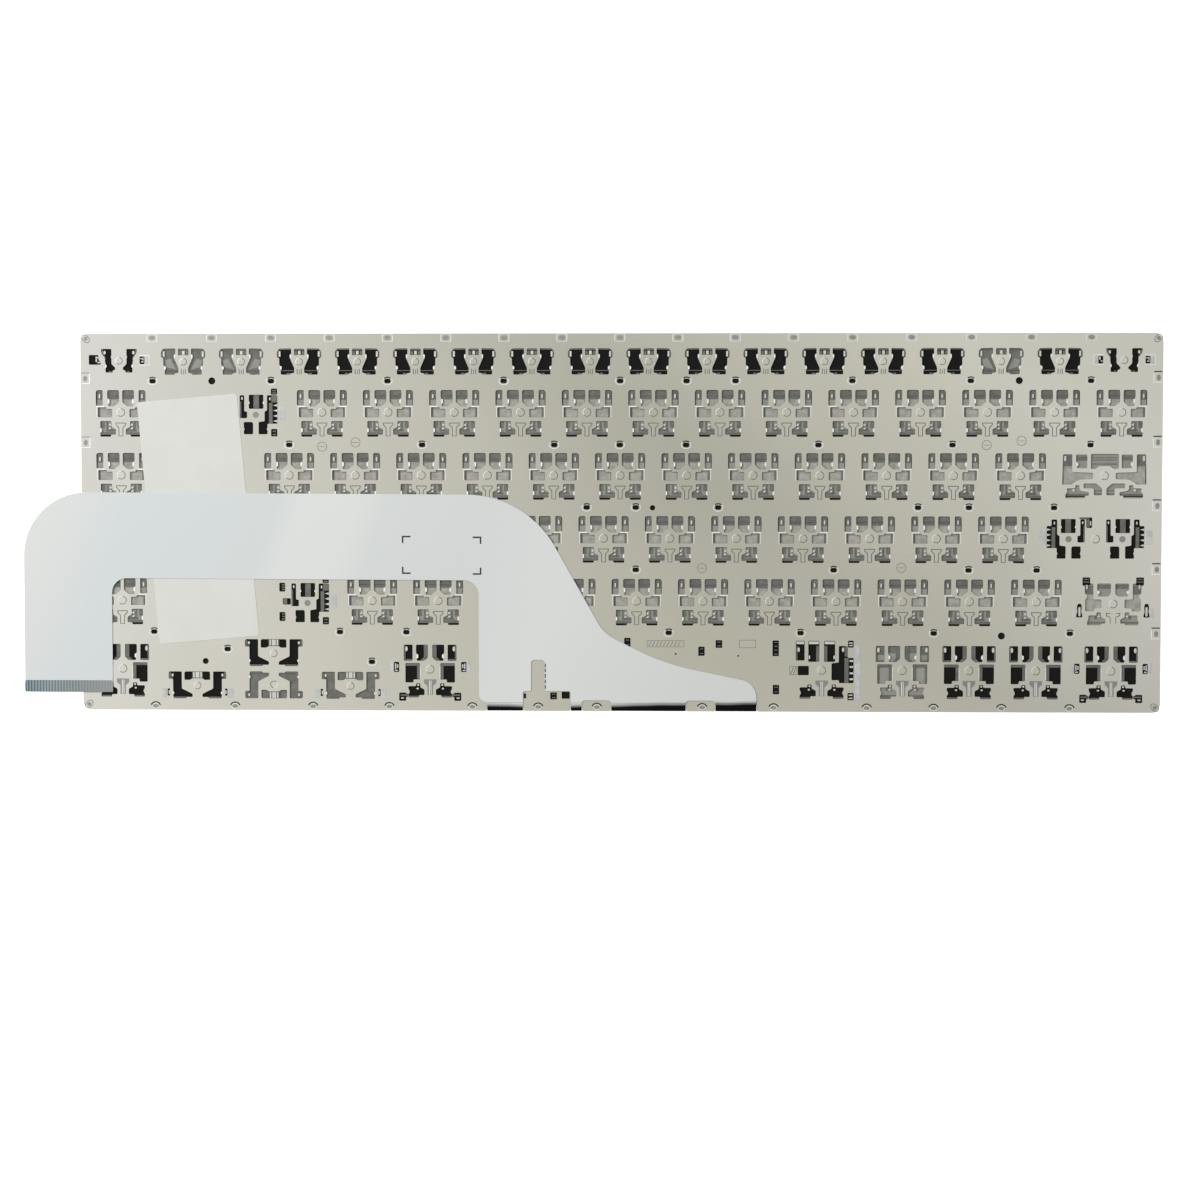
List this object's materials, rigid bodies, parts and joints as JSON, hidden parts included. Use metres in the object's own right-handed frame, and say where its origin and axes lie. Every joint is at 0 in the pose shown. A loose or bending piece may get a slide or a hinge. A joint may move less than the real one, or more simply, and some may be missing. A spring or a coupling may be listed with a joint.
{
  "type": "laptop keyboard",
  "caption": "Scissor-switch laptop keyboard lying on its keys: black keycaps on domes and links under a stamped metal plate, with a folded white flex tail and a blank label.",
  "frame": {"origin": "on the plane of the key tops, under the middle of the support plate", "axes": "+X along the key rows, +Y across them towards the function row, +Z from the key tops to the plate's back"},
  "size_m": [0.3269, 0.1084, 0.0046],
  "materials": {
    "plate": "satin champagne sheet",
    "film": "white satin film",
    "contact_end": "blue-grey satin",
    "label": "plain white",
    "dome_rubber": "translucent grey",
    "link_plastic": "moulded black",
    "bar_steel": "drawn wire",
    "keycap": "fine matte black"
  },
  "bodies": {
    "frame": {"blank_label": "label", "function_keys": "keycap", "membrane": "film", "number_keys": "keycap", "rubber_domes": "dome_rubber", "scissor_links": "link_plastic", "stabiliser_bars": "bar_steel", "support_plate": "plate", "tail_stiffener": "contact_end"},
    "key_a": {"key_a": "keycap"},
    "key_alt": {"key_alt": "keycap"},
    "key_alt_graph": {"key_alt_graph": "keycap"},
    "key_angle": {"key_angle": "keycap"},
    "key_arrow_down": {"key_arrow_down": "keycap"},
    "key_arrow_left": {"key_arrow_left": "keycap"},
    "key_arrow_right": {"key_arrow_right": "keycap"},
    "key_arrow_up": {"key_arrow_up": "keycap"},
    "key_b": {"key_b": "keycap"},
    "key_backspace": {"key_backspace": "keycap"},
    "key_c": {"key_c": "keycap"},
    "key_caps_lock": {"key_caps_lock": "keycap"},
    "key_comma": {"key_comma": "keycap"},
    "key_control": {"key_control": "keycap"},
    "key_d": {"key_d": "keycap"},
    "key_e": {"key_e": "keycap"},
    "key_enter": {"key_enter": "keycap"},
    "key_f": {"key_f": "keycap"},
    "key_fn": {"key_fn": "keycap"},
    "key_g": {"key_g": "keycap"},
    "key_h": {"key_h": "keycap"},
    "key_hash": {"key_hash": "keycap"},
    "key_i": {"key_i": "keycap"},
    "key_j": {"key_j": "keycap"},
    "key_k": {"key_k": "keycap"},
    "key_l": {"key_l": "keycap"},
    "key_left_bracket": {"key_left_bracket": "keycap"},
    "key_left_shift": {"key_left_shift": "keycap"},
    "key_m": {"key_m": "keycap"},
    "key_n": {"key_n": "keycap"},
    "key_o": {"key_o": "keycap"},
    "key_p": {"key_p": "keycap"},
    "key_period": {"key_period": "keycap"},
    "key_q": {"key_q": "keycap"},
    "key_quote": {"key_quote": "keycap"},
    "key_r": {"key_r": "keycap"},
    "key_right_bracket": {"key_right_bracket": "keycap"},
    "key_right_shift": {"key_right_shift": "keycap"},
    "key_s": {"key_s": "keycap"},
    "key_semicolon": {"key_semicolon": "keycap"},
    "key_slash": {"key_slash": "keycap"},
    "key_space": {"key_space": "keycap"},
    "key_system": {"key_system": "keycap"},
    "key_t": {"key_t": "keycap"},
    "key_tab": {"key_tab": "keycap"},
    "key_u": {"key_u": "keycap"},
    "key_v": {"key_v": "keycap"},
    "key_w": {"key_w": "keycap"},
    "key_x": {"key_x": "keycap"},
    "key_y": {"key_y": "keycap"},
    "key_z": {"key_z": "keycap"}
  },
  "joints": [
    {"name": "key_a_press", "type": "slide", "parent": "frame", "child": "key_a", "axis": [0, 0, 1], "range_m": [0, 0.0014], "stiffness_N_per_m": 350, "deforming": ["rubber_domes", "scissor_links"]},
    {"name": "key_alt_press", "type": "slide", "parent": "frame", "child": "key_alt", "axis": [0, 0, 1], "range_m": [0, 0.0014], "stiffness_N_per_m": 350, "deforming": ["rubber_domes", "scissor_links"]},
    {"name": "key_alt_graph_press", "type": "slide", "parent": "frame", "child": "key_alt_graph", "axis": [0, 0, 1], "range_m": [0, 0.0014], "stiffness_N_per_m": 350, "deforming": ["rubber_domes", "scissor_links"]},
    {"name": "key_angle_press", "type": "slide", "parent": "frame", "child": "key_angle", "axis": [0, 0, 1], "range_m": [0, 0.0014], "stiffness_N_per_m": 350, "deforming": ["rubber_domes", "scissor_links"]},
    {"name": "key_arrow_down_press", "type": "slide", "parent": "frame", "child": "key_arrow_down", "axis": [0, 0, 1], "range_m": [0, 0.0014], "stiffness_N_per_m": 350, "deforming": ["rubber_domes", "scissor_links"]},
    {"name": "key_arrow_left_press", "type": "slide", "parent": "frame", "child": "key_arrow_left", "axis": [0, 0, 1], "range_m": [0, 0.0014], "stiffness_N_per_m": 350, "deforming": ["rubber_domes", "scissor_links"]},
    {"name": "key_arrow_right_press", "type": "slide", "parent": "frame", "child": "key_arrow_right", "axis": [0, 0, 1], "range_m": [0, 0.0014], "stiffness_N_per_m": 350, "deforming": ["rubber_domes", "scissor_links"]},
    {"name": "key_arrow_up_press", "type": "slide", "parent": "frame", "child": "key_arrow_up", "axis": [0, 0, 1], "range_m": [0, 0.0014], "stiffness_N_per_m": 350, "deforming": ["rubber_domes", "scissor_links"]},
    {"name": "key_b_press", "type": "slide", "parent": "frame", "child": "key_b", "axis": [0, 0, 1], "range_m": [0, 0.0014], "stiffness_N_per_m": 350, "deforming": ["rubber_domes", "scissor_links"]},
    {"name": "key_backspace_press", "type": "slide", "parent": "frame", "child": "key_backspace", "axis": [0, 0, 1], "range_m": [0, 0.0014], "stiffness_N_per_m": 350, "deforming": ["rubber_domes", "scissor_links"]},
    {"name": "key_c_press", "type": "slide", "parent": "frame", "child": "key_c", "axis": [0, 0, 1], "range_m": [0, 0.0014], "stiffness_N_per_m": 350, "deforming": ["rubber_domes", "scissor_links"]},
    {"name": "key_caps_lock_press", "type": "slide", "parent": "frame", "child": "key_caps_lock", "axis": [0, 0, 1], "range_m": [0, 0.0014], "stiffness_N_per_m": 350, "deforming": ["rubber_domes", "scissor_links"]},
    {"name": "key_comma_press", "type": "slide", "parent": "frame", "child": "key_comma", "axis": [0, 0, 1], "range_m": [0, 0.0014], "stiffness_N_per_m": 350, "deforming": ["rubber_domes", "scissor_links"]},
    {"name": "key_control_press", "type": "slide", "parent": "frame", "child": "key_control", "axis": [0, 0, 1], "range_m": [0, 0.0014], "stiffness_N_per_m": 350, "deforming": ["rubber_domes", "scissor_links"]},
    {"name": "key_d_press", "type": "slide", "parent": "frame", "child": "key_d", "axis": [0, 0, 1], "range_m": [0, 0.0014], "stiffness_N_per_m": 350, "deforming": ["rubber_domes", "scissor_links"]},
    {"name": "key_e_press", "type": "slide", "parent": "frame", "child": "key_e", "axis": [0, 0, 1], "range_m": [0, 0.0014], "stiffness_N_per_m": 350, "deforming": ["rubber_domes", "scissor_links"]},
    {"name": "key_enter_press", "type": "slide", "parent": "frame", "child": "key_enter", "axis": [0, 0, 1], "range_m": [0, 0.0014], "stiffness_N_per_m": 350, "deforming": ["rubber_domes", "scissor_links"]},
    {"name": "key_f_press", "type": "slide", "parent": "frame", "child": "key_f", "axis": [0, 0, 1], "range_m": [0, 0.0014], "stiffness_N_per_m": 350, "deforming": ["rubber_domes", "scissor_links"]},
    {"name": "key_fn_press", "type": "slide", "parent": "frame", "child": "key_fn", "axis": [0, 0, 1], "range_m": [0, 0.0014], "stiffness_N_per_m": 350, "deforming": ["rubber_domes", "scissor_links"]},
    {"name": "key_g_press", "type": "slide", "parent": "frame", "child": "key_g", "axis": [0, 0, 1], "range_m": [0, 0.0014], "stiffness_N_per_m": 350, "deforming": ["rubber_domes", "scissor_links"]},
    {"name": "key_h_press", "type": "slide", "parent": "frame", "child": "key_h", "axis": [0, 0, 1], "range_m": [0, 0.0014], "stiffness_N_per_m": 350, "deforming": ["rubber_domes", "scissor_links"]},
    {"name": "key_hash_press", "type": "slide", "parent": "frame", "child": "key_hash", "axis": [0, 0, 1], "range_m": [0, 0.0014], "stiffness_N_per_m": 350, "deforming": ["rubber_domes", "scissor_links"]},
    {"name": "key_i_press", "type": "slide", "parent": "frame", "child": "key_i", "axis": [0, 0, 1], "range_m": [0, 0.0014], "stiffness_N_per_m": 350, "deforming": ["rubber_domes", "scissor_links"]},
    {"name": "key_j_press", "type": "slide", "parent": "frame", "child": "key_j", "axis": [0, 0, 1], "range_m": [0, 0.0014], "stiffness_N_per_m": 350, "deforming": ["rubber_domes", "scissor_links"]},
    {"name": "key_k_press", "type": "slide", "parent": "frame", "child": "key_k", "axis": [0, 0, 1], "range_m": [0, 0.0014], "stiffness_N_per_m": 350, "deforming": ["rubber_domes", "scissor_links"]},
    {"name": "key_l_press", "type": "slide", "parent": "frame", "child": "key_l", "axis": [0, 0, 1], "range_m": [0, 0.0014], "stiffness_N_per_m": 350, "deforming": ["rubber_domes", "scissor_links"]},
    {"name": "key_left_bracket_press", "type": "slide", "parent": "frame", "child": "key_left_bracket", "axis": [0, 0, 1], "range_m": [0, 0.0014], "stiffness_N_per_m": 350, "deforming": ["rubber_domes", "scissor_links"]},
    {"name": "key_left_shift_press", "type": "slide", "parent": "frame", "child": "key_left_shift", "axis": [0, 0, 1], "range_m": [0, 0.0014], "stiffness_N_per_m": 350, "deforming": ["rubber_domes", "scissor_links"]},
    {"name": "key_m_press", "type": "slide", "parent": "frame", "child": "key_m", "axis": [0, 0, 1], "range_m": [0, 0.0014], "stiffness_N_per_m": 350, "deforming": ["rubber_domes", "scissor_links"]},
    {"name": "key_n_press", "type": "slide", "parent": "frame", "child": "key_n", "axis": [0, 0, 1], "range_m": [0, 0.0014], "stiffness_N_per_m": 350, "deforming": ["rubber_domes", "scissor_links"]},
    {"name": "key_o_press", "type": "slide", "parent": "frame", "child": "key_o", "axis": [0, 0, 1], "range_m": [0, 0.0014], "stiffness_N_per_m": 350, "deforming": ["rubber_domes", "scissor_links"]},
    {"name": "key_p_press", "type": "slide", "parent": "frame", "child": "key_p", "axis": [0, 0, 1], "range_m": [0, 0.0014], "stiffness_N_per_m": 350, "deforming": ["rubber_domes", "scissor_links"]},
    {"name": "key_period_press", "type": "slide", "parent": "frame", "child": "key_period", "axis": [0, 0, 1], "range_m": [0, 0.0014], "stiffness_N_per_m": 350, "deforming": ["rubber_domes", "scissor_links"]},
    {"name": "key_q_press", "type": "slide", "parent": "frame", "child": "key_q", "axis": [0, 0, 1], "range_m": [0, 0.0014], "stiffness_N_per_m": 350, "deforming": ["rubber_domes", "scissor_links"]},
    {"name": "key_quote_press", "type": "slide", "parent": "frame", "child": "key_quote", "axis": [0, 0, 1], "range_m": [0, 0.0014], "stiffness_N_per_m": 350, "deforming": ["rubber_domes", "scissor_links"]},
    {"name": "key_r_press", "type": "slide", "parent": "frame", "child": "key_r", "axis": [0, 0, 1], "range_m": [0, 0.0014], "stiffness_N_per_m": 350, "deforming": ["rubber_domes", "scissor_links"]},
    {"name": "key_right_bracket_press", "type": "slide", "parent": "frame", "child": "key_right_bracket", "axis": [0, 0, 1], "range_m": [0, 0.0014], "stiffness_N_per_m": 350, "deforming": ["rubber_domes", "scissor_links"]},
    {"name": "key_right_shift_press", "type": "slide", "parent": "frame", "child": "key_right_shift", "axis": [0, 0, 1], "range_m": [0, 0.0014], "stiffness_N_per_m": 350, "deforming": ["rubber_domes", "scissor_links"]},
    {"name": "key_s_press", "type": "slide", "parent": "frame", "child": "key_s", "axis": [0, 0, 1], "range_m": [0, 0.0014], "stiffness_N_per_m": 350, "deforming": ["rubber_domes", "scissor_links"]},
    {"name": "key_semicolon_press", "type": "slide", "parent": "frame", "child": "key_semicolon", "axis": [0, 0, 1], "range_m": [0, 0.0014], "stiffness_N_per_m": 350, "deforming": ["rubber_domes", "scissor_links"]},
    {"name": "key_slash_press", "type": "slide", "parent": "frame", "child": "key_slash", "axis": [0, 0, 1], "range_m": [0, 0.0014], "stiffness_N_per_m": 350, "deforming": ["rubber_domes", "scissor_links"]},
    {"name": "key_space_press", "type": "slide", "parent": "frame", "child": "key_space", "axis": [0, 0, 1], "range_m": [0, 0.0014], "stiffness_N_per_m": 350, "deforming": ["rubber_domes", "scissor_links"]},
    {"name": "key_system_press", "type": "slide", "parent": "frame", "child": "key_system", "axis": [0, 0, 1], "range_m": [0, 0.0014], "stiffness_N_per_m": 350, "deforming": ["rubber_domes", "scissor_links"]},
    {"name": "key_t_press", "type": "slide", "parent": "frame", "child": "key_t", "axis": [0, 0, 1], "range_m": [0, 0.0014], "stiffness_N_per_m": 350, "deforming": ["rubber_domes", "scissor_links"]},
    {"name": "key_tab_press", "type": "slide", "parent": "frame", "child": "key_tab", "axis": [0, 0, 1], "range_m": [0, 0.0014], "stiffness_N_per_m": 350, "deforming": ["rubber_domes", "scissor_links"]},
    {"name": "key_u_press", "type": "slide", "parent": "frame", "child": "key_u", "axis": [0, 0, 1], "range_m": [0, 0.0014], "stiffness_N_per_m": 350, "deforming": ["rubber_domes", "scissor_links"]},
    {"name": "key_v_press", "type": "slide", "parent": "frame", "child": "key_v", "axis": [0, 0, 1], "range_m": [0, 0.0014], "stiffness_N_per_m": 350, "deforming": ["rubber_domes", "scissor_links"]},
    {"name": "key_w_press", "type": "slide", "parent": "frame", "child": "key_w", "axis": [0, 0, 1], "range_m": [0, 0.0014], "stiffness_N_per_m": 350, "deforming": ["rubber_domes", "scissor_links"]},
    {"name": "key_x_press", "type": "slide", "parent": "frame", "child": "key_x", "axis": [0, 0, 1], "range_m": [0, 0.0014], "stiffness_N_per_m": 350, "deforming": ["rubber_domes", "scissor_links"]},
    {"name": "key_y_press", "type": "slide", "parent": "frame", "child": "key_y", "axis": [0, 0, 1], "range_m": [0, 0.0014], "stiffness_N_per_m": 350, "deforming": ["rubber_domes", "scissor_links"]},
    {"name": "key_z_press", "type": "slide", "parent": "frame", "child": "key_z", "axis": [0, 0, 1], "range_m": [0, 0.0014], "stiffness_N_per_m": 350, "deforming": ["rubber_domes", "scissor_links"]}
  ]
}
